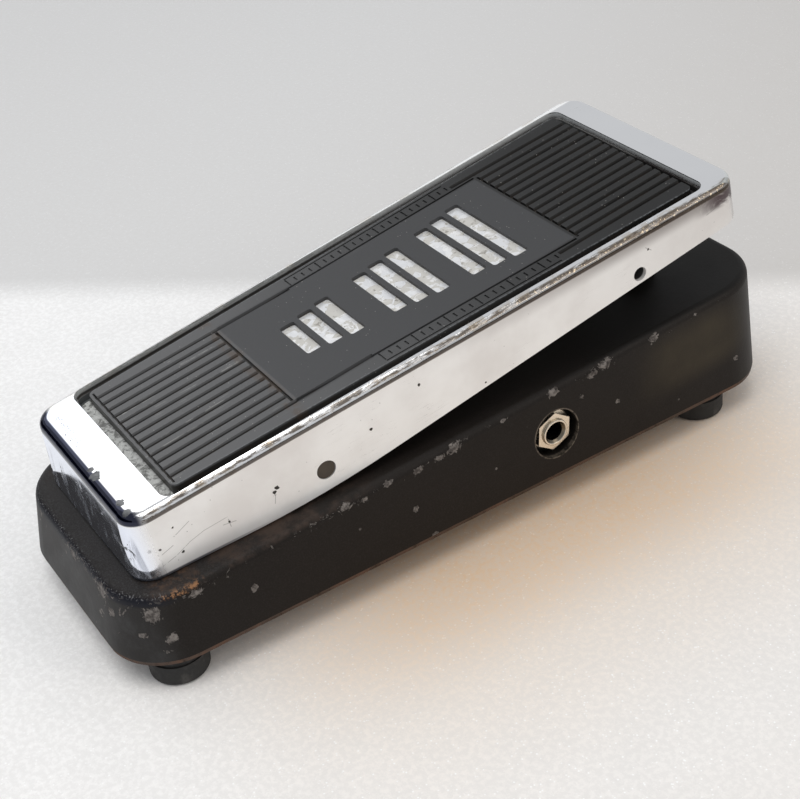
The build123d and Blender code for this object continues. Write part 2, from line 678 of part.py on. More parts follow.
ROD_HALF = half_width(LINK_ALONG) - 6.0
ROD_CLIP_X = 3.5
with BuildPart() as link_rod:
    with BuildSketch(Plane.YZ.offset(-ROD_HALF)):
        with Locations((LINK_Y, LINK_Z)):
            Circle(LINK_R)
    extrude(amount=2 * ROD_HALF)
    chamfer(link_rod.edges().filter_by(GeomType.CIRCLE), 0.4)
    for side in (-1, 1):
        with BuildSketch(Plane.YZ.offset(side * ROD_CLIP_X)):
            with Locations((LINK_Y, LINK_Z)):
                Circle(LINK_R + 1)
                Circle(LINK_R - 0.5, mode=Mode.SUBTRACT)
        extrude(amount=-side * 0.9, mode=Mode.SUBTRACT)
finish(link_rod, "link_rod")

clips("link_clips", LINK_Y, LINK_Z, LINK_R - 0.47, 4.4, ROD_CLIP_X, 0.8)

# ---------------------------------------------------------------- glue bed, foil and rubber mat
GLUE_TOP = POCKET_DEPTH - GLUE
with BuildPart() as mat_glue:
    bed = tapered(POCKET_DEPTH, POCKET_HEEL + 0.4, MAT_TOE + 0.5, POCKET_HEEL_HALF - 1.5,
                  mat_half(MAT_TOE) + 0.4, 3.0)
    extrude(bed, amount=GLUE)
finish(mat_glue, "mat_glue")

RIM = 0.8
TICKS = 21                  # ruler ticks along each side strip
TICK_LONG = 4.4
TICK_SHORT = 2.4
MARK_LINE = 0.6
MARK_DEPTH = 0.5
BORDER = 1.1                # border line, in from the mat's edge
HEEL_GROOVES = range(-6, 7)
TOE_GROOVES = range(-7, 8)
BAR_GROUPS = (81.0, 111.5, 139.5)   # first bar of each group, along the treadle
BAR_PITCH = 7.4
BAR = 5.4
BAR_HALF = 9.5              # half length of the shortest bar
BAR_GROWTH = 1.4
FOIL_BED = MAT_TOP + CUT_DEPTH      # depth of the floor of the cut-outs


def level_bars():
    """Three groups of three bars that grow longer towards the toe, like a level scale."""
    with BuildSketch(TREADLE.offset(-FOIL_BED)) as shape:
        for group, start in enumerate(BAR_GROUPS):
            for i in range(3):
                half = BAR_HALF + BAR_GROWTH * (3 * group + i)
                with Locations((0, start + BAR_PITCH * i)):
                    RectangleRounded(2 * half, BAR, 1.0)
    return shape.sketch


def strip_middle(side, along):
    """Middle of the strip between the panel and the mat's edge."""
    return side * (panel_half(along) + mat_half(along)) / 2 - side * 0.4


with BuildPart() as rubber_mat:
    extrude(tapered(GLUE_TOP, MAT_HEEL, MAT_TOE, MAT_HEEL_HALF, MAT_TOE_HALF, 2.2), amount=GLUE_TOP - MAT_TOP)
    # grooves between the ribs: heel zone, toe zone and the strips beside the panel
    with BuildSketch(TREADLE.offset(-MAT_TOP)):
        for i in HEEL_GROOVES:
            outside = abs(i) * RIB_PITCH > PANEL_HEEL_HALF
            end = STRIP_HEEL - 1.5 if outside else PANEL_HEEL - RIM
            with Locations((i * RIB_PITCH, (MAT_HEEL + RIM + end) / 2)):
                Rectangle(RIB_GROOVE, end - MAT_HEEL - RIM)
        for i in TOE_GROOVES:
            outside = abs(i) * RIB_PITCH > PANEL_TOE_HALF
            start = STRIP_TOE + 1.5 if outside else PANEL_TOE + RIM
            with Locations((i * RIB_PITCH, (start + MAT_TOE + 1) / 2)):
                Rectangle(RIB_GROOVE, MAT_TOE + 1 - start)
    extrude(amount=-RIB_HEIGHT, taper=RIB_TAPER, mode=Mode.SUBTRACT)
    with BuildSketch(TREADLE.offset(-MAT_TOP)):
        # cross grooves where the ribs stop
        with Locations((0, MAT_HEEL + 1.3)):
            Rectangle(2 * mat_half(MAT_HEEL) - 3.0, 0.7)
        with Locations((0, PANEL_HEEL - 1.2)):
            Rectangle(2 * PANEL_HEEL_HALF, 1.0)
        with Locations((0, PANEL_TOE + 1.2)):
            Rectangle(2 * PANEL_TOE_HALF, 0.9)
        for side in (-1, 1):
            heel_in = side * (PANEL_HEEL_HALF + 0.1)
            toe_in = side * (PANEL_TOE_HALF + 0.1)
            line = side * PANEL_LINE
            Polygon((heel_in, PANEL_HEEL), (heel_in + line, PANEL_HEEL),
                    (toe_in + line, PANEL_TOE), (toe_in, PANEL_TOE), align=None)
    extrude(amount=-RIB_HEIGHT, mode=Mode.SUBTRACT)
    # ruler ticks and a border line along the side strips
    with BuildSketch(TREADLE.offset(-MAT_TOP)):
        for side in (-1, 1):
            for i in range(TICKS + 2):
                along = STRIP_HEEL + i * (STRIP_TOE - STRIP_HEEL) / (TICKS + 1)
                with Locations((strip_middle(side, along), along)):
                    Rectangle(TICK_SHORT if i % 4 else TICK_LONG, MARK_LINE)
            heel_out = side * (mat_half(STRIP_HEEL) - BORDER)
            toe_out = side * (mat_half(STRIP_TOE) - BORDER)
            line = side * MARK_LINE
            Polygon((heel_out - line, STRIP_HEEL), (heel_out, STRIP_HEEL), (toe_out, STRIP_TOE),
                    (toe_out - line, STRIP_TOE), align=None)
    extrude(amount=-MARK_DEPTH, mode=Mode.SUBTRACT)
    extrude(level_bars(), amount=CUT_DEPTH + MAT_TOP, mode=Mode.SUBTRACT)
finish(rubber_mat, "rubber_mat")

with BuildPart() as foil_inlays:
    extrude(level_bars(), amount=FOIL)
finish(foil_inlays, "foil_inlays")

# ---------------------------------------------------------------- rack
EYE_Z = LINK_Z
EYE_Y = LINK_Y + 1.0
EYE_SLOT = 2.8              # the rod drifts along the eye as the treadle rocks
EYE_GAP = 0.25
STEM_BACK = 72.0
RACK_DROP = (LINK_Y - PIVOT_Y) * math.radians(TRAVEL)
RACK_BOTTOM = PLATE_TOP + 1.2 + RACK_DROP
TOOTH_TIP = RACK_FRONT - 0.95 * MODULE
TOOTH_ROOT = RACK_FRONT + 1.15 * MODULE
PITCH = math.pi * MODULE
TOOTH_HALF = PITCH / 4 - 0.12
FLANK = math.tan(math.radians(20))
TOOTH_PHASE = PITCH / 2     # a pinion tooth points at a rack gap when at rest
RACK_TEETH = range(-1, 8)
root = TOOTH_HALF + (TOOTH_ROOT - RACK_FRONT) * FLANK
tip = TOOTH_HALF - (RACK_FRONT - TOOTH_TIP) * FLANK
with BuildPart() as gear_rack:
    with BuildSketch(Plane.YZ.offset(-RACK_THICK / 2)):
        with BuildLine():
            Polyline((TOOTH_ROOT, RACK_BOTTOM), (STEM_BACK, RACK_BOTTOM), (STEM_BACK, EYE_Z),
                     (TOOTH_ROOT, EYE_Z), close=True)
        make_face()
        with Locations((EYE_Y, EYE_Z)):
            SlotCenterToCenter(EYE_SLOT, 2 * (LINK_R + EYE_GAP + 2.3))
        for i in RACK_TEETH:
            z = PINION_Z + TOOTH_PHASE + i * PITCH
            Polygon((TOOTH_ROOT + 0.3, z - root), (TOOTH_TIP, z - tip), (TOOTH_TIP, z + tip),
                    (TOOTH_ROOT + 0.3, z + root), align=None)
        with Locations((EYE_Y, EYE_Z)):
            SlotCenterToCenter(EYE_SLOT, 2 * (LINK_R + EYE_GAP), mode=Mode.SUBTRACT)
    extrude(amount=RACK_THICK)
finish(gear_rack, "gear_rack")

# ---------------------------------------------------------------- pot shaft and pinion
PINION_R = MODULE * PINION_TEETH / 2
PINION_HALF = 2.5
SHAFT_BORE = 3.02
with BuildPart() as pot_shaft:
    with BuildSketch(Plane.YZ.offset(-PINION_HALF - 0.5)):
        with Locations((POT_Y, PINION_Z)):
            Circle(SHAFT_R)
    extrude(amount=POT_FACE_X + 1.6 + PINION_HALF + 0.5)
    with BuildSketch(Plane.YZ.offset(POT_FACE_X + 1.6)):
        with Locations((POT_Y, PINION_Z)):
            Circle(6.0)
    extrude(amount=1.4)
finish(pot_shaft, "pot_shaft")

with BuildPart() as pinion_gear:
    with BuildSketch(Plane(origin=(-PINION_HALF, POT_Y, PINION_Z), x_dir=(0, 1, 0), z_dir=(1, 0, 0))):
        Circle(PINION_R - 1.15 * MODULE)
        with PolarLocations(0, PINION_TEETH):
            Polygon((PINION_R - 1.6, -1.0), (PINION_R, -TOOTH_HALF), (PINION_R + 0.9, -0.3),
                    (PINION_R + 0.9, 0.3), (PINION_R, TOOTH_HALF), (PINION_R - 1.6, 1.0), align=None)
        Circle(SHAFT_BORE, mode=Mode.SUBTRACT)
    extrude(amount=2 * PINION_HALF)
finish(pinion_gear, "pinion_gear")

# ---------------------------------------------------------------- wires inside the housing
WIRE_R = 0.7


def wire(name, points, radii):
    with BuildPart() as lead:
        with BuildLine() as path:
            FilletPolyline(*points, radius=radii)
        start = path.line @ 0
        with BuildSketch(Plane(origin=start, z_dir=path.line % 0)):
            Circle(WIRE_R)
        sweep()
    finish(lead, name)


LEAD_X = POT_FACE_X + 2.0
LEAD_TOP = TERMINAL_Z - 4.5
TAG_X = JACK_INNER_X - JACK_FLANGE - 15.0   # solder tags of the jack springs
TAG_Y = JACK_Y + 1.5 + WIRE_R + 0.02
TAG_Z = JACK_Z + 10.1
wire("input_wire",
     [(LEAD_X, TERMINAL_Y[0], LEAD_TOP), (LEAD_X, TERMINAL_Y[0], 18.6), (17.0, TERMINAL_Y[0] - 6, 18.6),
      (20.0, 42.0, 27.6), (TAG_X, TAG_Y, TAG_Z)],
     [1.2, 4.0, 5.0])
wire("output_wire",
     [(LEAD_X, TERMINAL_Y[1], LEAD_TOP), (LEAD_X, TERMINAL_Y[1], 15.8), (LEAD_X, 44.0, 15.8),
      (-16.0, 42.0, 27.6), (-TAG_X, TAG_Y, TAG_Z)],
     [2.0, 5.0, 6.0])
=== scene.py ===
import json
import math

import bpy
from mathutils import Matrix, Vector

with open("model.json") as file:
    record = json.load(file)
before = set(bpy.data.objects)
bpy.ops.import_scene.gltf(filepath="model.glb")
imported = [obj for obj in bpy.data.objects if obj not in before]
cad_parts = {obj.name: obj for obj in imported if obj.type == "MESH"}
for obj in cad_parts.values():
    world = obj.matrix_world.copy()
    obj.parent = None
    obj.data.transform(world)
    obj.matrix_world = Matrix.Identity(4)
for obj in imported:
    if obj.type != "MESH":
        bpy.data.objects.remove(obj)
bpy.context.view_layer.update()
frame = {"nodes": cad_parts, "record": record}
NODES = frame["nodes"]
MM = 0.001

# The base, in metres. Its top slopes up from the heel end to the toe end.
BASE_HALF_LENGTH = 0.126
BASE_HEEL_TOP = 0.03410
BASE_SLOPE = 0.06627
JACK = (29.5, 27.0)         # middle of the jacks: along the base and above the floor, in millimetres

# The treadle at rest: its slope and the top of its heel edge. Its material uses its own frame, which is
# across, along from the heel edge, and height over its top.
TILT = math.radians(8.5)
HEEL = Vector((0, -114.7, 58.8)) * MM
TOE_END = 0.2262            # just past the toe end, along the treadle
HEEL_HALF = 0.0363          # half width at the heel end, and how it grows along the treadle
TAPER = 0.03584
CORNER = 8 * MM             # radius of the heel corners
HEM_DROP = 0.02344          # the skirt's lower edge: how far below the top, and its slope against the top
HEM_SLOPE = 0.0862

# The mat in the treadle's frame: its heel end, half width there, and how that grows along the mat.
MAT_HEEL = 0.018
MAT_HEEL_HALF = 0.0312
MAT_TAPER = 0.03196


# ------------------------------------------------------------------ camera
camera = bpy.data.objects.new("camera", bpy.data.cameras.new("camera"))
bpy.context.scene.collection.objects.link(camera)
camera_place = Vector((386.58, -212.47, 334.95)) * MM
forward = Vector((-0.72255, 0.39373, -0.56824)).normalized()
right = Vector((0.53815, 0.83631, -0.10482)).normalized()
up = right.cross(forward)
camera_turn = Matrix((right, up, -forward)).transposed().to_4x4()
camera.matrix_world = Matrix.Translation(camera_place) @ camera_turn
camera.data.sensor_fit = "HORIZONTAL"
camera.data.sensor_width = 36.0
camera.data.lens = 71.2
camera.data.clip_start = 0.01
bpy.context.scene.camera = camera
bpy.context.scene.view_settings.view_transform = "Standard"


# ------------------------------------------------------------------ material helper
class Surface:
    """One procedural material: a Principled shader and short calls for the nodes that feed it."""

    def __init__(self, name, treadle=False, **constants):
        self.material = bpy.data.materials.new(name)
        self.material.use_nodes = True
        self.tree = self.material.node_tree
        self.shader = self.tree.nodes["Principled BSDF"]
        for socket, value in constants.items():
            self.shader.inputs[socket.replace("_", " ")].default_value = value
        self.place = self.new("ShaderNodeTexCoord").outputs["Object"]
        if treadle:
            moved = self.new("ShaderNodeVectorMath", operation="SUBTRACT")
            self.feed(moved.inputs[0], self.place)
            moved.inputs[1].default_value = HEEL
            turned = self.new("ShaderNodeVectorRotate", rotation_type="X_AXIS")
            self.feed(turned.inputs["Vector"], moved.outputs[0])
            turned.inputs["Angle"].default_value = -TILT
            self.place = turned.outputs[0]
        split = self.new("ShaderNodeSeparateXYZ")
        self.feed(split.inputs[0], self.place)
        self.x, self.y, self.z = split.outputs

    def new(self, kind, **settings):
        node = self.tree.nodes.new(kind)
        for key, value in settings.items():
            setattr(node, key, value)
        return node

    def feed(self, socket, value):
        if isinstance(value, bpy.types.NodeSocket):
            self.tree.links.new(value, socket)
        else:
            socket.default_value = value

    def math(self, operation, *values, clamp=False):
        node = self.new("ShaderNodeMath", operation=operation, use_clamp=clamp)
        for socket, value in zip(node.inputs, values):
            self.feed(socket, value)
        return node.outputs[0]

    def stretch(self, x, y, z, turn=0.0):
        """The place, scaled along each axis; a larger scale makes a pattern shorter along that axis."""
        node = self.new("ShaderNodeMapping")
        self.feed(node.inputs["Vector"], self.place)
        node.inputs["Scale"].default_value = (x, y, z)
        node.inputs["Rotation"].default_value = (turn, 0, 0)
        return node.outputs[0]

    def noise(self, scale, detail=3.0, rough=0.55, vector=None, bend=0.0):
        node = self.new("ShaderNodeTexNoise")
        self.feed(node.inputs["Vector"], vector or self.place)
        node.inputs["Scale"].default_value = scale
        node.inputs["Detail"].default_value = detail
        node.inputs["Roughness"].default_value = rough
        node.inputs["Distortion"].default_value = bend
        return node.outputs["Fac"]

    def cells(self, scale, output="Distance"):
        node = self.new("ShaderNodeTexVoronoi")
        self.feed(node.inputs["Vector"], self.place)
        node.inputs["Scale"].default_value = scale
        return node.outputs[output]

    def step(self, value, low, high):
        """0 below low, 1 above high and smooth between; low may be the larger of the two."""
        node = self.new("ShaderNodeMapRange", interpolation_type="SMOOTHSTEP")
        self.feed(node.inputs["Value"], value)
        if low < high:
            node.inputs["From Min"].default_value = low
            node.inputs["From Max"].default_value = high
        else:
            node.inputs["From Min"].default_value = high
            node.inputs["From Max"].default_value = low
            node.inputs["To Min"].default_value = 1.0
            node.inputs["To Max"].default_value = 0.0
        return node.outputs["Result"]

    def band(self, value, low, high, soft):
        """1 between low and high, 0 outside, with soft ends."""
        return self.times(self.step(value, low - soft, low + soft),
                          self.step(value, high + soft, high - soft))

    def times(self, *values):
        total = values[0]
        for value in values[1:]:
            total = self.math("MULTIPLY", total, value)
        return total

    def most(self, *values):
        total = values[0]
        for value in values[1:]:
            total = self.math("MAXIMUM", total, value)
        return total

    def blend(self, factor, below, above):
        """Colour below where factor is 0 and above where it is 1; both are colours or sockets."""
        node = self.new("ShaderNodeMix", data_type="RGBA")
        self.feed(node.inputs["Factor"], factor)
        for socket, value in ((node.inputs[6], below), (node.inputs[7], above)):
            self.feed(socket, value if isinstance(value, bpy.types.NodeSocket) else (*value, 1.0))
        return node.outputs[2]

    def between(self, factor, low, high):
        """Low where factor is 0 and high where it is 1."""
        node = self.new("ShaderNodeMapRange")
        self.feed(node.inputs["Value"], factor)
        node.inputs["To Min"].default_value = low
        node.inputs["To Max"].default_value = high
        return node.outputs["Result"]

    def far(self, first, second, place):
        """Distance in the plane of two coordinates from a place in millimetres."""
        a = self.math("SUBTRACT", first, place[0] * MM)
        b = self.math("SUBTRACT", second, place[1] * MM)
        return self.math("SQRT", self.math("MULTIPLY_ADD", a, a, self.math("MULTIPLY", b, b)))

    def spots(self, first, second, marks, wobble):
        """Ragged marks, each given as two coordinates and a radius in millimetres."""
        nearest = None
        for *place, radius in marks:
            edge = self.math("MULTIPLY", self.far(first, second, place), 1 / (radius * MM))
            nearest = edge if nearest is None else self.math("MINIMUM", nearest, edge)
        return self.step(self.math("MULTIPLY_ADD", wobble, 3.6, nearest), 2.62, 2.50)

    def curve(self, first, second, points, width):
        """A thin line through places in millimetres, made of straight stretches."""
        nearest = None
        for (a0, b0), (a1, b1) in zip(points, points[1:]):
            length = math.hypot(a1 - a0, b1 - b0)
            ca, cb = (a1 - a0) / length, (b1 - b0) / length
            a = self.math("SUBTRACT", first, a0 * MM)
            b = self.math("SUBTRACT", second, b0 * MM)
            run = self.math("MULTIPLY_ADD", a, ca, self.math("MULTIPLY", b, cb))
            off = self.math("MULTIPLY_ADD", a, -cb, self.math("MULTIPLY", b, ca))
            middle = length * MM / 2
            past = self.math("ABSOLUTE", self.math("SUBTRACT", run, middle))
            past = self.math("SUBTRACT", past, middle)
            away = self.math("MAXIMUM", self.math("ABSOLUTE", off), past)
            nearest = away if nearest is None else self.math("MINIMUM", nearest, away)
        return self.step(nearest, width * MM, width * MM * 0.4)

    def bump(self, height, strength, distance, under=None):
        node = self.new("ShaderNodeBump")
        self.feed(node.inputs["Height"], height)
        node.inputs["Strength"].default_value = strength
        node.inputs["Distance"].default_value = distance * MM
        if under:
            self.feed(node.inputs["Normal"], under)
        return node.outputs["Normal"]

    def finish(self, color=None, roughness=None, metallic=None, normal=None):
        feeds = (("Base Color", color), ("Roughness", roughness), ("Metallic", metallic), ("Normal", normal))
        for socket, value in feeds:
            if value is not None:
                self.feed(self.shader.inputs[socket], value)
        return self.material


# ------------------------------------------------------------------ materials of the base
# Chips in the paint: place along the base, drop below its sloped top, radius.
CREASE_CHIPS = ((-102, 3, 2.0), (-50, 2, 1.8), (-43, 3, 1.3), (-34, 2, 1.5), (-23, 3, 1.9),
                (-15, 3, 1.8), (-9, 2, 2.4), (10, 2, 1.0), (30, 2, 1.9), (46, 3, 2.0), (51, 2, 2.6),
                (72, 2, 2.0), (90, 2, 0.9))
SIDE_CHIPS = ((-26, 16, 1.2), (-21, 29, 1.3), (41, 9, 1.1), (55, 18, 1.1), (-84, 12, 1.3),
              (107, 27, 1.1), (-115, 6, 2.7), (-119, 13, 1.2), (-112, 15, 2.1))
LONG_CHIP = 1.7             # how much longer than high the chips along the crease are
# On the heel face: place across, drop below the top, radius.
HEEL_CHIPS = ((24, 4, 3.8), (29, 8, 1.8), (2, 4, 2.2), (-24, 4, 1.6))


def black_paint():
    s = Surface("black_paint", Specular_IOR_Level=0.17)
    # how far a point lies below the base's sloped top
    top = s.math("MULTIPLY_ADD", s.y, BASE_SLOPE, BASE_HEEL_TOP + BASE_HALF_LENGTH * BASE_SLOPE)
    below = s.math("SUBTRACT", top, s.z)
    across = s.math("ABSOLUTE", s.x)
    from_jack = s.far(s.y, s.z, JACK)
    ragged = s.noise(400, 6, 0.70, bend=1.2)
    side = s.step(below, 0.0012, 0.0024)
    off_top = s.step(below, 0.0003, 0.0009)
    heel = s.step(s.y, -0.108, -0.119)
    near = s.step(s.x, 0.0, 0.001)

    # chips down to bare metal: the listed ones, small ones along the crease, at the heel and strewn
    crease = [(along, drop * LONG_CHIP, radius * 1.2) for along, drop, radius in CREASE_CHIPS]
    crease = s.spots(s.y, s.math("MULTIPLY", below, LONG_CHIP), crease, ragged)
    placed = s.times(near, off_top, s.most(crease, s.spots(s.y, below, SIDE_CHIPS, ragged)))
    placed = s.most(placed, s.times(heel, off_top, s.spots(s.x, below, HEEL_CHIPS, ragged)))
    other = s.times(s.band(below, 0.0014, 0.0036, 0.0007),
                    s.step(s.math("MULTIPLY_ADD", s.noise(26, 2, 0.5), 0.5, ragged), 0.86, 0.88))
    low = s.times(side, heel, s.step(s.noise(170, 4, 0.6, bend=0.5), 0.665, 0.68))
    stray = s.times(side, s.step(s.cells(120), 0.060, 0.048), s.step(s.noise(40, 3, 0.6), 0.50, 0.54))
    bare = s.most(placed, other, low, s.times(stray, 0.8))

    # paint rubbed thin along the top edge: brown, coppery and grey, the grey worn specks at the heel
    # carrying a painted glint
    worn = s.times(s.step(below, 0.0022, 0.0008), s.step(s.noise(90, 6, 0.72), 0.44, 0.66),
                   s.band(s.y, -0.112, -0.045, 0.012), s.step(across, 0.024, 0.037))
    copper = s.times(s.band(below, 0.0003, 0.0017, 0.0005), s.step(s.noise(420, 5, 0.70), 0.48, 0.58),
                     s.band(s.y, -0.1125, -0.0985, 0.0015), near)
    # grey worn specks along the heel edge with a painted glint
    edge_glints = s.times(s.band(below, 0.0003, 0.0012, 0.0004), s.step(s.noise(1700, 4, 0.70), 0.54, 0.66),
                    s.step(s.y, -0.104, -0.116))

    # the paint itself, darker under the treadle as painted shade and dusty at the heel, with a painted dark
    # reflection along the heel's top edge and a painted warm glow on the side towards the toe
    grain = s.noise(1500, 3, 0.6)
    mottle = s.step(s.noise(1900, 4, 0.70), 0.42, 0.70)
    # painted shade: the top is darker where the treadle hangs over it
    shaded = s.times(s.step(below, 0.0010, 0.0002), s.step(s.y, 0.010, 0.070))
    patches = s.noise(34, 5, 0.62)
    color = s.blend(patches, (0.0070, 0.0052, 0.0042), (0.0125, 0.0096, 0.0078))
    color = s.blend(s.times(mottle, s.between(side, 0.40, 0.42)), color, (0.025, 0.021, 0.019))
    color = s.blend(s.times(shaded, 0.65), color, (0.0035, 0.0032, 0.0028))
    dusty = s.step(s.noise(55, 6, 0.70), 0.40, 0.70)
    color = s.blend(s.times(side, heel, s.between(dusty, 0.25, 0.70)), color, (0.062, 0.062, 0.063))
    top_heel = s.times(s.step(below, 0.0008, 0.0), s.step(s.y, -0.060, -0.115))
    color = s.blend(s.times(top_heel, s.between(mottle, 0.15, 0.80)), color, (0.036, 0.036, 0.038))
    # painted reflection: a dark blue band along the top edge at the heel
    heel_top_reflection = s.times(s.band(below, 0.0006, 0.0034, 0.0007), s.step(s.y, -0.104, -0.116))
    color = s.blend(s.times(heel_top_reflection, 0.9), color, (0.007, 0.008, 0.014))
    # painted light: a warm bounce glow on the side towards the toe
    glow = s.times(side, s.band(s.y, 0.070, 0.108, 0.012), s.band(below, 0.005, 0.024, 0.005),
                   patches)
    color = s.blend(s.times(glow, 0.9), color, (0.058, 0.045, 0.026))
    color = s.blend(s.times(worn, 0.75), color, (0.050, 0.033, 0.025))
    color = s.blend(s.times(copper, 0.85), color, (0.30, 0.15, 0.07))
    color = s.blend(s.times(edge_glints, 0.75), color, (0.30, 0.30, 0.31))

    # the rim of the jack's recess, the bare metal and the inside of the recess, darkened as painted shade
    ring = s.times(s.band(from_jack, 0.00845, 0.00900, 0.0001), s.step(across, 0.0447, 0.0451))
    color = s.blend(s.times(ring, s.step(ragged, 0.36, 0.56), 0.75), color, (0.17, 0.14, 0.11))
    cast = s.step(s.noise(520, 5, 0.68), 0.36, 0.64)
    color = s.blend(bare, color, s.blend(cast, (0.060, 0.052, 0.048), (0.215, 0.195, 0.180)))
    # painted shade: the inside of the jack's recess is near black
    recess_shade = s.times(s.step(from_jack, 0.00865, 0.00855), s.step(across, 0.0404, 0.0410))
    color = s.blend(s.times(recess_shade, 0.9), color, (0.004, 0.0035, 0.003))

    rough = s.math("ADD", s.between(s.noise(60, 4, 0.6), 0.40, 0.56), s.times(bare, 0.1))
    relief = s.math("MULTIPLY_ADD", s.noise(420, 2, 0.5), 1.2, grain)
    normal = s.bump(relief, 0.55, 0.05)
    normal = s.bump(bare, 0.8, -0.10, normal)
    return s.finish(color, rough, s.times(bare, 0.30), normal)


def plate_steel():
    s = Surface("plate_steel")
    rust = s.step(s.noise(90, 6, 0.65, bend=0.5), 0.42, 0.62)
    color = s.blend(rust, (0.08, 0.06, 0.05), (0.105, 0.055, 0.034))
    color = s.blend(s.step(s.noise(400, 4, 0.7), 0.50, 0.72), color, (0.04, 0.025, 0.018))
    streaks = s.noise(60, 3, 0.5, s.stretch(1, 14, 14))
    return s.finish(color, s.between(rust, 0.38, 0.75), s.between(rust, 0.85, 0.15),
                    s.bump(streaks, 0.3, 0.04))


def rubber(name, dark, light):
    """Dull rubber with a fine grain and some dust."""
    s = Surface(name, Specular_IOR_Level=0.35)
    grain = s.noise(900, 4, 0.6)
    dust = s.step(s.noise(110, 5, 0.65), 0.50, 0.72)
    color = s.blend(s.noise(60, 3, 0.5), dark, light)
    color = s.blend(s.times(dust, 0.35), color, (0.13, 0.12, 0.11))
    return s.finish(color, s.between(grain, 0.55, 0.80), None, s.bump(grain, 0.35, 0.06))


def metal(name, dark, light, rough):
    """Plated or turned metal with fine machining marks and a little grime."""
    s = Surface(name, Metallic=1.0)
    marks = s.noise(900, 2, 0.5, s.stretch(6, 1, 1))
    spots = s.step(s.noise(260, 5, 0.65), 0.58, 0.70)
    color = s.blend(s.noise(120, 4, 0.6), dark, light)
    color = s.blend(s.times(spots, 0.5), color, (0.08, 0.06, 0.04))
    return s.finish(color, s.between(s.most(s.times(marks, 0.6), spots), *rough), None,
                    s.bump(marks, 0.15, 0.02))


def jack_metal():
    """Nickel with a bore darkened as painted shade, a dark line around the sleeve, painted shade over the
    outer rim down in the recess, and spots of dirt.
    """
    s = Surface("jack_nickel", Metallic=1.0)
    out = s.far(s.y, s.z, JACK)
    marks = s.noise(420, 3, 0.6)
    color = s.blend(marks, (0.84, 0.77, 0.66), (0.97, 0.92, 0.83))
    line = s.band(out, 0.00455, 0.00485, 0.00008)
    color = s.blend(s.times(line, 0.75), color, (0.20, 0.16, 0.11))
    # painted shade: the bore is dark
    color = s.blend(s.times(s.step(out, 0.00425, 0.00385), 0.9), color, (0.075, 0.058, 0.036))
    # painted shade: the outer rim of the nut, down in the recess, is dark
    color = s.blend(s.times(s.step(out, 0.0069, 0.0072), 0.9), color, (0.05, 0.042, 0.034))
    spots = s.step(s.noise(700, 5, 0.7), 0.60, 0.70)
    color = s.blend(s.times(spots, 0.5), color, (0.25, 0.19, 0.12))
    return s.finish(color, s.between(s.most(marks, spots), 0.14, 0.40), None, s.bump(marks, 0.2, 0.03))


def moulded(name, dark, light, rough=(0.35, 0.55)):
    """Moulded plastic or board with a fine grain."""
    s = Surface(name)
    grain = s.noise(700, 4, 0.6)
    color = s.blend(s.noise(90, 4, 0.6), dark, light)
    return s.finish(color, s.between(grain, *rough), None, s.bump(grain, 0.2, 0.03))


# ------------------------------------------------------------------ materials of the treadle
# Marks on the near side of the treadle: place along it, height over its top, radius.
NICKS = ((44, -17, 1.0), (45, -16, 0.8), (28, -18, 0.6), (3, -13, 0.6), (6, -14, 0.5),
         (12, -19, 0.5), (12, -9, 0.5), (79, -15, 0.6), (98, -9, 0.5), (120, -22, 0.5), (187, -8, 0.5))
SCRATCH = ((5, -20), (10, -19), (15, -17), (20, -16), (28, -16))
SHORT_SCRATCHES = (((26, -18), (30, -19)), ((28, -17), (28, -20)), ((186, -7), (188, -9)),
                   ((211, -8), (216, -7)), ((12, -12), (17, -10)), ((6, -16), (10, -15)),
                   ((44, -18), (43, -21)))
# Peeled patches on the heel rim: place across, place along, radius.
PEELED = ((9, 3, 2.0), (5, 3, 1.1), (26, 3, 2.1), (31, 3, 2.0), (-13, 4, 0.7), (-17, 4, 0.7))


def outline_distance(s, inset):
    """Distance in from the treadle's outline, round its heel corners too; inset is that from the sides."""
    corner_x = s.math("SUBTRACT", CORNER, inset)
    corner_y = s.math("SUBTRACT", CORNER, s.y)
    round_x = s.math("MAXIMUM", corner_x, 0.0)
    round_y = s.math("MAXIMUM", corner_y, 0.0)
    square_y = s.math("MULTIPLY", round_y, round_y)
    reach = s.math("SQRT", s.math("MULTIPLY_ADD", round_x, round_x, square_y))
    reach = s.math("ADD", reach, s.math("MINIMUM", s.math("MAXIMUM", corner_x, corner_y), 0.0))
    return s.math("SUBTRACT", CORNER, reach)


def scratches(s, ragged):
    """The long scratch and the short ones on the near side."""
    scratch = s.times(s.curve(s.y, s.z, SCRATCH, 0.13), s.step(ragged, 0.34, 0.44), 0.60)
    for stretch in SHORT_SCRATCHES:
        scratch = s.most(scratch, s.times(s.curve(s.y, s.z, stretch, 0.15), 0.60))
    return scratch


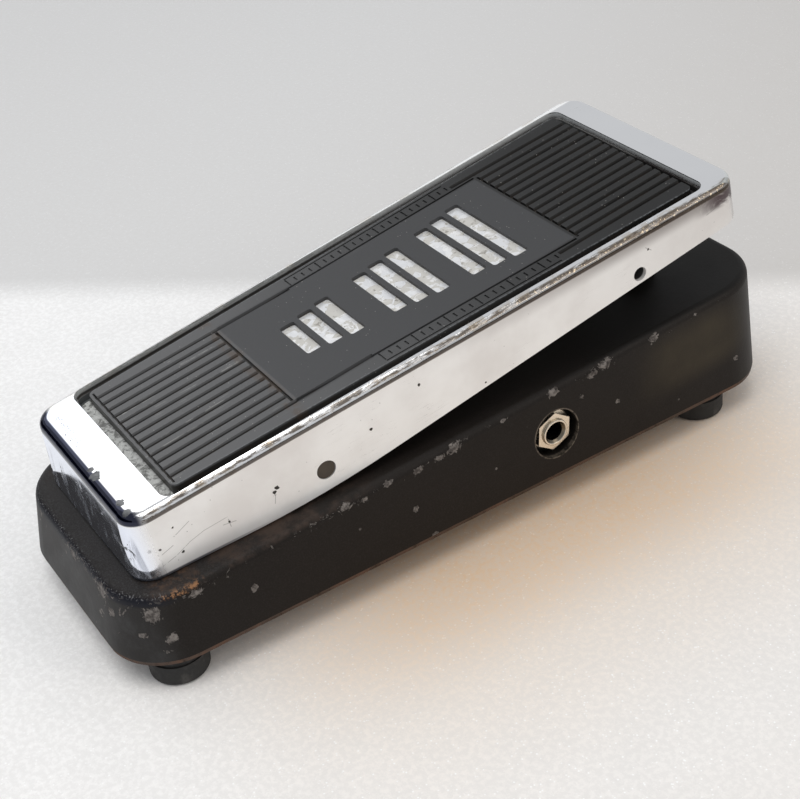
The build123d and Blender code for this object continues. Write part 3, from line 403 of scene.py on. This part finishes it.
def treadle_chrome():
    s = Surface("treadle_chrome", treadle=True)
    ragged = s.noise(420, 5, 0.65, bend=0.5)
    patches = s.noise(120, 5, 0.62, bend=0.9)
    clouds = s.noise(30, 5, 0.6)
    half = s.math("MULTIPLY_ADD", s.y, TAPER, HEEL_HALF)
    inset = s.math("SUBTRACT", half, s.math("ABSOLUTE", s.x))
    rim_in = outline_distance(s, inset)

    # the walls of the skirt and the rounded edge round the top
    ends = s.times(s.step(s.y, 0.0005, 0.0075), s.step(s.y, TOE_END, 0.2195))
    wall = s.times(s.step(s.z, -0.0021, -0.0029), ends)
    ring = s.times(s.step(rim_in, 0.0031, 0.0025), s.step(s.z, -0.0034, -0.0028))
    long_edge = s.times(ring, s.step(s.y, 0.0035, 0.0065))
    heel_rim_reflection = s.times(ring, s.step(s.y, 0.0065, 0.0035))
    heel_wall = s.times(s.step(s.y, 0.0010, 0.0004), s.step(s.z, -0.0030, -0.0040))
    peeled = s.times(s.step(s.z, -0.0036, -0.0020), s.spots(s.x, s.y, PEELED, patches))
    low_peel = s.times(heel_wall, s.band(s.z, -0.0150, -0.0075, 0.002), s.step(patches, 0.60, 0.62))
    peeled = s.most(peeled, low_peel)

    # the long edges: a bright line, a pitted band, a second bright line and a dark lower line of painted
    # reflection
    pitted = s.times(long_edge, s.band(s.z, -0.00120, -0.00022, 0.00012))
    lower = s.times(long_edge, s.band(s.z, -0.0031, -0.0018, 0.00015))

    # towards the toe the near edge mirrors something dark, with gold glints
    near_side = s.step(s.x, 0.0, 0.010)
    dusk = s.times(near_side, long_edge, s.step(s.z, -0.0002, -0.0006), s.step(s.y, 0.050, 0.200))
    gold = s.times(dusk, s.step(s.noise(1000, 3, 0.70), 0.58, 0.66))
    # painted highlight on the far edge of the top
    far_edge_highlight = s.times(s.step(s.x, -0.010, -0.020), s.step(inset, 0.0042, 0.0034),
                      s.step(s.z, -0.0016, -0.0006))

    # pits, mostly along the edges
    rim = s.step(s.z, -0.0030, -0.0024)
    heel_crumbs = s.times(rim, s.band(s.y, 0.0034, 0.0070, 0.0018))
    edges = s.most(s.times(pitted, 1.2), s.times(long_edge, 0.7), s.times(heel_crumbs, 0.8),
                   s.times(rim, 0.12))
    crowd = s.math("MULTIPLY_ADD", edges, 0.26, s.noise(46, 4, 0.62))
    pits = s.times(s.step(s.cells(1500), 0.30, 0.16), rim, s.step(crowd, 0.66, 0.80))

    # nicks, scratches, hair lines and specks on the walls
    near = s.times(wall, s.step(s.x, 0.030, 0.033))
    nick = s.times(near, s.spots(s.y, s.z, NICKS, ragged))
    scratch = s.times(near, scratches(s, ragged))
    hair = s.noise(34, 2, 0.5, s.stretch(1, 1, 20, turn=0.30), bend=0.3)
    hairs = s.times(wall, s.band(hair, 0.5600, 0.5625, 0.0012), s.step(s.noise(32, 2, 0.5), 0.56, 0.62))
    specks = s.times(wall, s.step(s.cells(330), 0.060, 0.040), s.step(s.noise(50, 3, 0.6), 0.50, 0.56))

    # the recess under the mat and the inside of the skirt, which are darkened as painted shade
    inside = s.times(s.step(s.z, -0.0026, -0.0034), s.step(inset, 0.0012, 0.0016),
                     s.step(s.y, 0.0140, 0.0150), s.step(s.y, TOE_END, 0.2150))

    # bright chrome on top, satin on the walls, browner towards the toe, with painted reflections: cool at
    # the heel, dark high on the near wall and at its toe corner
    color = s.blend(clouds, (0.86, 0.86, 0.87), (0.95, 0.95, 0.95))
    # painted reflection: a cool blue shading over the heel end, stronger towards the far side
    cool_reflection = s.times(s.step(s.y, 0.0150, 0.0120), s.step(s.x, 0.020, -0.036), s.between(clouds, 0.4, 1.0))
    color = s.blend(cool_reflection, color, (0.60, 0.66, 0.78))
    satin = s.blend(s.step(clouds, 0.30, 0.66), (0.79, 0.765, 0.745), (0.93, 0.92, 0.905))
    satin = s.blend(s.times(s.step(s.y, 0.120, 0.225), 0.42), satin, (0.50, 0.46, 0.43))
    color = s.blend(s.times(wall, 0.9), color, satin)
    # painted reflection: the upper part of the near wall is darker towards the toe
    upper_reflection = s.times(wall, near_side, s.step(s.z, -0.0085, -0.0034), s.step(s.y, 0.080, 0.205))
    color = s.blend(s.times(upper_reflection, s.between(clouds, 0.40, 0.90)), color, (0.13, 0.105, 0.095))
    # painted reflection: dark purple-brown patches at the near toe corner
    toe_reflection = s.times(s.step(s.y, 0.2050, 0.2170), s.step(s.y, TOE_END, 0.2235), near_side,
                         s.band(s.z, -0.0076, -0.0024, 0.0012))
    color = s.blend(s.times(toe_reflection, s.step(patches, 0.30, 0.50), 0.92), color, (0.040, 0.016, 0.022))

    # the heel wall gets a faint blue painted reflection, with a dark blue painted reflection in fine streaks
    # across its lower part
    # painted reflection: a faint blue tint over the heel wall
    blue_reflection = s.times(s.step(s.y, 0.0060, -0.0010), s.step(s.z, -0.0030, -0.0040))
    color = s.blend(blue_reflection, color, (0.86, 0.90, 1.0))
    # painted reflection: dark blue streaks across the lower heel wall
    navy_reflection = s.times(heel_wall, s.step(s.z, -0.0050, -0.0120),
                     s.step(s.noise(150, 4, 0.65, s.stretch(1.0, 1.0, 0.25), bend=0.6), 0.50, 0.68))
    color = s.blend(s.times(navy_reflection, 0.45), color, (0.085, 0.100, 0.150))

    # the lip of the recess on the far side and at the toe catches some light
    lip = s.times(s.step(s.z, -0.0002, -0.0005), s.step(s.z, -0.0030, -0.0004),
                  s.step(rim_in, 0.0010, 0.0013),
                  s.most(s.step(s.x, -0.020, -0.028), s.step(s.y, 0.2110, 0.2130)))

    # the skirt's lower edge is rolled at the heel and mirrors the dark base
    over_hem = s.math("MULTIPLY_ADD", s.y, HEM_SLOPE, s.math("ADD", s.z, HEM_DROP))
    hem = s.times(s.step(over_hem, 0.0011, 0.0005), s.step(s.y, 0.050, 0.012), near_side)
    color = s.blend(s.times(hem, 0.9), color, (0.016, 0.019, 0.036))
    # painted highlight: the far edge of the top is a pale, less metallic white
    color = s.blend(far_edge_highlight, color, (0.95, 0.96, 0.96))

    # the long edges with their tints, their painted reflections and the dark heel edge, also a painted
    # reflection
    streaky = s.noise(900, 4, 0.65, s.stretch(1.0, 0.20, 1.0))
    color = s.blend(s.times(pitted, s.step(streaky, 0.40, 0.56), 0.92), color, (0.13, 0.105, 0.082))
    color = s.blend(s.times(long_edge, s.step(patches, 0.50, 0.60), 0.35), color, (0.50, 0.40, 0.28))
    color = s.blend(s.times(dusk, 0.80), color, (0.11, 0.090, 0.075))
    color = s.blend(s.times(gold, 0.85), color, (0.95, 0.80, 0.58))
    # painted reflection: the dark lower line along the rounded long edges
    color = s.blend(s.times(lower, 0.9), color, (0.045, 0.030, 0.020))
    # painted reflection: the dark navy band over the rounded heel edge
    color = s.blend(s.times(heel_rim_reflection, 0.97), color, (0.010, 0.013, 0.034))

    # wear over everything else
    grey = s.blend(s.step(ragged, 0.38, 0.60), (0.045, 0.048, 0.052), (0.15, 0.155, 0.16))
    color = s.blend(s.times(peeled, 0.94), color, grey)
    color = s.blend(s.most(s.times(hairs, 0.5), scratch), color, (0.16, 0.15, 0.14))
    color = s.blend(s.most(s.times(pits, 0.85), nick, s.times(specks, 0.7)), color, (0.04, 0.035, 0.03))
    # painted shade in the recess and inside the skirt: near black, lighter on the far side
    gloom = s.blend(s.step(s.x, -0.024, -0.030), (0.018, 0.017, 0.016), (0.075, 0.084, 0.086))
    color = s.blend(s.times(inside, 0.96), color, gloom)
    color = s.blend(s.times(lip, s.between(ragged, 0.5, 1.0)), color, (0.46, 0.49, 0.49))

    # worn and satin parts are rougher and less metallic; the painted reflections and highlights are less
    # metallic too
    flaws = s.most(s.times(pits, 0.8), nick, peeled, s.times(inside, 0.9))
    haze = s.between(s.step(s.noise(55, 5, 0.65), 0.45, 0.75), 0.07, 0.14)
    coarse = s.times(s.most(flaws, s.times(pitted, 0.5)), 0.4)
    rough = s.math("ADD", haze, s.math("ADD", s.times(wall, 0.26), coarse), clamp=True)
    dull = s.most(s.times(wall, 0.66), s.times(flaws, 0.8),
                  s.times(s.most(lower, hem, toe_reflection, dusk), 0.3), s.times(far_edge_highlight, 0.7),
                  s.times(navy_reflection, 0.5), s.times(lip, 0.85))
    metallic = s.math("SUBTRACT", 1.0, dull, clamp=True)
    normal = s.bump(s.noise(24, 2, 0.5), 0.25, 0.22)
    normal = s.bump(s.most(pits, nick, s.times(scratch, 0.4)), 0.7, -0.05, normal)
    normal = s.bump(s.times(s.most(pitted, s.times(long_edge, 0.5)), ragged), 0.8, 0.07, normal)
    return s.finish(color, rough, metallic, normal)


def mat_rubber():
    s = Surface("mat_rubber", treadle=True, Specular_IOR_Level=0.30)
    deep = s.step(s.z, -0.0009, -0.0014)
    top = s.step(s.z, -0.0009, -0.0006)
    grain = s.noise(1300, 4, 0.6)
    specks = s.times(s.step(s.cells(520), 0.09, 0.05), s.step(s.noise(60, 3, 0.6), 0.46, 0.54))
    heel_zone = s.times(s.step(s.y, 0.070, 0.060), top)
    rub = s.noise(70, 5, 0.66, s.stretch(2.8, 0.5, 1.0))
    scuffs = s.times(heel_zone, s.step(rub, 0.56, 0.72))
    # fine scratches along the ribs at the heel, lightened as painted highlights
    lines = s.times(s.step(s.noise(300, 3, 0.6, s.stretch(2.2, 0.05, 1.0)), 0.58, 0.68),
                    s.step(s.y, 0.063, 0.060), s.step(s.noise(120, 4, 0.6), 0.48, 0.60),
                    s.step(s.y, 0.16, 0.03), top)
    faint = s.times(top, s.step(s.noise(26, 6, 0.7, bend=0.8), 0.62, 0.80))
    across = s.math("ABSOLUTE", s.x)
    panel = s.times(s.band(s.y, 0.0645, 0.1700, 0.0003), s.step(across, 0.0285, 0.0270))
    grime = s.times(deep, s.step(s.noise(130, 5, 0.65), 0.40, 0.62))
    edge = s.times(s.band(s.y, 0.0600, 0.0640, 0.0010), s.step(s.noise(160, 4, 0.6), 0.40, 0.60))
    half = s.math("MULTIPLY_ADD", s.math("SUBTRACT", s.y, MAT_HEEL), MAT_TAPER, MAT_HEEL_HALF)
    # painted highlight: a thin light line along the mat's long edges
    mat_edge_highlight = s.times(top, s.step(s.math("SUBTRACT", half, across), 0.0007, 0.0003))

    # a painted sheen, lighter towards the heel; the grooves there stay dark
    heel_sheen = s.step(s.y, 0.20, 0.02)
    color = s.blend(heel_sheen, (0.010, 0.010, 0.010), (0.106, 0.107, 0.110))
    color = s.blend(s.times(deep, heel_sheen, 0.9), color, (0.015, 0.015, 0.014))
    color = s.blend(s.times(panel, 0.85), color, (0.052, 0.053, 0.056))
    color = s.blend(s.times(faint, 0.22), color, (0.13, 0.13, 0.125))
    color = s.blend(s.times(scuffs, 0.26), color, (0.17, 0.17, 0.17))
    color = s.blend(s.times(lines, 0.65), color, (0.32, 0.32, 0.31))
    color = s.blend(s.times(mat_edge_highlight, s.step(grain, 0.35, 0.60), 0.5), color, (0.17, 0.18, 0.19))
    color = s.blend(s.times(grime, 0.45), color, (0.040, 0.030, 0.022))
    color = s.blend(s.times(edge, 0.45), color, (0.085, 0.055, 0.035))
    color = s.blend(s.times(specks, 0.8), color, (0.46, 0.44, 0.41))
    rough = s.math("ADD", s.between(grain, 0.36, 0.50), s.times(s.most(scuffs, panel), 0.08))
    return s.finish(color, rough, None, s.bump(grain, 0.26, 0.04))


def silver_foil():
    s = Surface("silver_foil", treadle=True)
    facets = s.cells(330, output="Color")
    split = s.new("ShaderNodeSeparateXYZ")
    s.feed(split.inputs[0], facets)
    tone = split.outputs[0]
    tilt = s.cells(330)
    fine = s.noise(700, 5, 0.65, bend=0.5)
    grime = s.step(s.math("MULTIPLY_ADD", tone, 0.28, s.noise(170, 5, 0.62, bend=0.6)), 0.62, 0.72)
    rim = s.step(s.noise(420, 4, 0.6), 0.56, 0.66)
    color = s.blend(tone, (0.80, 0.81, 0.83), (0.97, 0.97, 0.97))
    color = s.blend(s.times(grime, 0.65), color, (0.42, 0.40, 0.35))
    color = s.blend(s.times(rim, grime, 0.6), color, (0.16, 0.14, 0.11))
    crumple = s.math("MULTIPLY_ADD", fine, 0.30, s.math("MULTIPLY_ADD", tilt, 0.8, tone))
    normal = s.bump(crumple, 0.6, 0.25)
    return s.finish(color, s.between(grime, 0.30, 0.60), s.between(grime, 0.40, 0.10), normal)


def old_glue():
    s = Surface("old_glue", treadle=True)
    lumps = s.noise(480, 6, 0.72, bend=0.5)
    dirt = s.step(s.noise(330, 6, 0.74, bend=0.6), 0.47, 0.58)
    heel = s.step(s.y, 0.0185, 0.0175)
    color = s.blend(lumps, (0.34, 0.35, 0.34), (0.80, 0.81, 0.79))
    color = s.blend(s.times(dirt, 0.85), color, (0.10, 0.10, 0.095))
    # painted shade: away from the heel strip the glue is near black, in the gap beside the mat
    color = s.blend(heel, (0.018, 0.017, 0.016), color)
    return s.finish(color, s.between(lumps, 0.40, 0.75), None, s.bump(lumps, 1.0, 0.30))


MADE = {
    "black_paint": black_paint(),
    "plate_steel": plate_steel(),
    "foot_rubber": rubber("foot_rubber", (0.012, 0.012, 0.012), (0.028, 0.027, 0.026)),
    "stop_rubber": rubber("stop_rubber", (0.025, 0.025, 0.026), (0.050, 0.048, 0.046)),
    "zinc_steel": metal("zinc_steel", (0.46, 0.45, 0.42), (0.62, 0.61, 0.58), (0.28, 0.55)),
    "bracket_steel": metal("bracket_steel", (0.34, 0.33, 0.31), (0.48, 0.47, 0.45), (0.32, 0.6)),
    "pin_steel": metal("pin_steel", (0.065, 0.058, 0.050), (0.13, 0.115, 0.10), (0.35, 0.6)),
    "bush_brass": metal("bush_brass", (0.50, 0.36, 0.16), (0.68, 0.52, 0.26), (0.25, 0.5)),
    "jack_nickel": jack_metal(),
    "spring_metal": metal("spring_metal", (0.58, 0.52, 0.38), (0.74, 0.69, 0.55), (0.2, 0.45)),
    "pot_can": metal("pot_can", (0.52, 0.52, 0.50), (0.68, 0.68, 0.66), (0.25, 0.5)),
    "shaft_metal": metal("shaft_metal", (0.58, 0.58, 0.57), (0.74, 0.74, 0.73), (0.18, 0.4)),
    "jack_board": moulded("jack_board", (0.16, 0.085, 0.04), (0.28, 0.16, 0.08), (0.45, 0.7)),
    "white_nylon": moulded("white_nylon", (0.66, 0.63, 0.55), (0.80, 0.78, 0.72)),
    "wire_red": moulded("wire_red", (0.36, 0.03, 0.025), (0.50, 0.06, 0.05)),
    "wire_grey": moulded("wire_grey", (0.20, 0.20, 0.20), (0.32, 0.32, 0.32)),
    "treadle_chrome": treadle_chrome(),
    "mat_rubber": mat_rubber(),
    "silver_foil": silver_foil(),
    "old_glue": old_glue(),
}
for part in frame["record"]["subparts"]:
    obj = NODES[part["node"]]
    material = MADE[part["material_slot"]]
    for slot in obj.material_slots:
        slot.material = material
    if not obj.material_slots:
        obj.data.materials.append(material)


# ------------------------------------------------------------------ stage and light
def plane(name, size, place, material, turn=(0, 0, 0)):
    mesh = bpy.data.meshes.new(name)
    half = size / 2
    corners = [(-half, -half, 0), (half, -half, 0), (half, half, 0), (-half, half, 0)]
    mesh.from_pydata(corners, [], [(0, 1, 2, 3)])
    obj = bpy.data.objects.new(name, mesh)
    obj.location = place
    obj.rotation_euler = turn
    mesh.materials.append(material)
    bpy.context.scene.collection.objects.link(obj)
    return obj


def floor_material():
    """Pale, finely beaded floor; its far part is greyer, painted shading makes it darker and warmer towards
    the right, and a painted warm glow and a painted warm contact shadow lie beside the pedal.
    """
    s = Surface("pale_floor", Specular_IOR_Level=0.25)
    foam = s.noise(520, 4, 0.70)
    beads = s.noise(60, 4, 0.6)
    glint = s.times(s.step(s.cells(620), 0.24, 0.10), s.step(s.noise(260, 3, 0.65), 0.44, 0.54))
    fore = s.math("ADD", s.math("MULTIPLY", s.x, 0.7485), s.math("MULTIPLY", s.y, -0.6627))
    back = s.step(fore, -0.112, -0.136)
    # painted shading: darker and warmer towards the right
    right = s.step(s.math("MULTIPLY_ADD", s.y, 0.75, s.x), -0.25, 0.25)
    wall = s.blend(right, (0.69, 0.69, 0.69), (0.59, 0.570, 0.55))
    front = s.blend(right, (0.97, 0.97, 0.97), (0.86, 0.835, 0.81))
    color = s.blend(back, front, wall)
    beside = s.step(s.x, 0.0, 0.03)
    # painted light: a warm glow on the floor beside the pedal
    warm = s.times(s.band(s.y, -0.080, 0.130, 0.060), s.step(s.x, 0.160, 0.060), beside)
    color = s.blend(s.times(warm, 0.7), color, (0.80, 0.65, 0.50))
    # painted shadow: a darker, warmer contact shadow next to the base
    contact_shadow = s.times(s.band(s.y, -0.060, 0.090, 0.050), s.step(s.x, 0.105, 0.055), beside)
    color = s.blend(s.times(contact_shadow, 0.75), color, (0.68, 0.46, 0.27))
    color = s.blend(s.times(s.step(beads, 0.40, 0.65), 0.08), color, (0.66, 0.66, 0.66))
    pores = s.times(s.step(foam, 0.62, 0.42), s.between(back, 0.26, 0.34))
    color = s.blend(pores, color, (0.64, 0.63, 0.62))
    glint = s.times(glint, s.between(back, 0.90, 0.30), s.math("SUBTRACT", 1.0, s.times(warm, 0.75)))
    color = s.blend(glint, color, (1.0, 1.0, 1.0))
    return s.finish(color, 0.6, None, s.bump(foam, 0.35, 0.5))


plane("floor", 12.0, (0, 0, 0), floor_material())


def card(name, size, place, turn, color):
    """A dark studio card that only reflections see."""
    s = Surface(name)
    tone = s.blend(s.noise(4), color, [channel * 1.5 for channel in color])
    obj = plane(name, 1.0, place, s.finish(tone, 0.9), turn)
    obj.scale = (*size, 1)
    obj.visible_camera = False
    obj.visible_diffuse = False
    obj.visible_shadow = False


UPRIGHT = math.radians(90)
card("heel_card", (1.1, 0.24), (-0.22, -0.50, 0.12), (UPRIGHT, 0, math.radians(-20)), (0.010, 0.014, 0.040))
card("side_card", (1.2, 0.10), (0.62, 0.20, 0.05), (UPRIGHT, 0, math.radians(80)), (0.030, 0.022, 0.016))

world = bpy.data.worlds.new("studio")
world.use_nodes = True
background = world.node_tree.nodes["Background"]
background.inputs["Color"].default_value = (0.95, 0.97, 1.0, 1)
background.inputs["Strength"].default_value = 0.63
bpy.context.scene.world = world


AIM = Vector((0, 0, 0.04))


def softbox(name, place, size, power, color):
    """A round area light aimed at the pedal."""
    light = bpy.data.lights.new(name, "AREA")
    light.shape = "DISK"
    light.size = size
    light.energy = power
    light.color = color
    obj = bpy.data.objects.new(name, light)
    obj.location = place
    obj.rotation_euler = (AIM - Vector(place)).to_track_quat("-Z", "Y").to_euler()
    bpy.context.scene.collection.objects.link(obj)


softbox("heel_glow", (-1.28, -0.12, 1.03), 0.66, 1.25, (1.0, 1.0, 1.0))
softbox("overhead", (0.15, -0.35, 1.5), 1.1, 9.2, (1.0, 0.985, 0.96))
softbox("warm_fill", (1.0, 0.7, 0.8), 0.9, 3.0, (1.0, 0.90, 0.78))
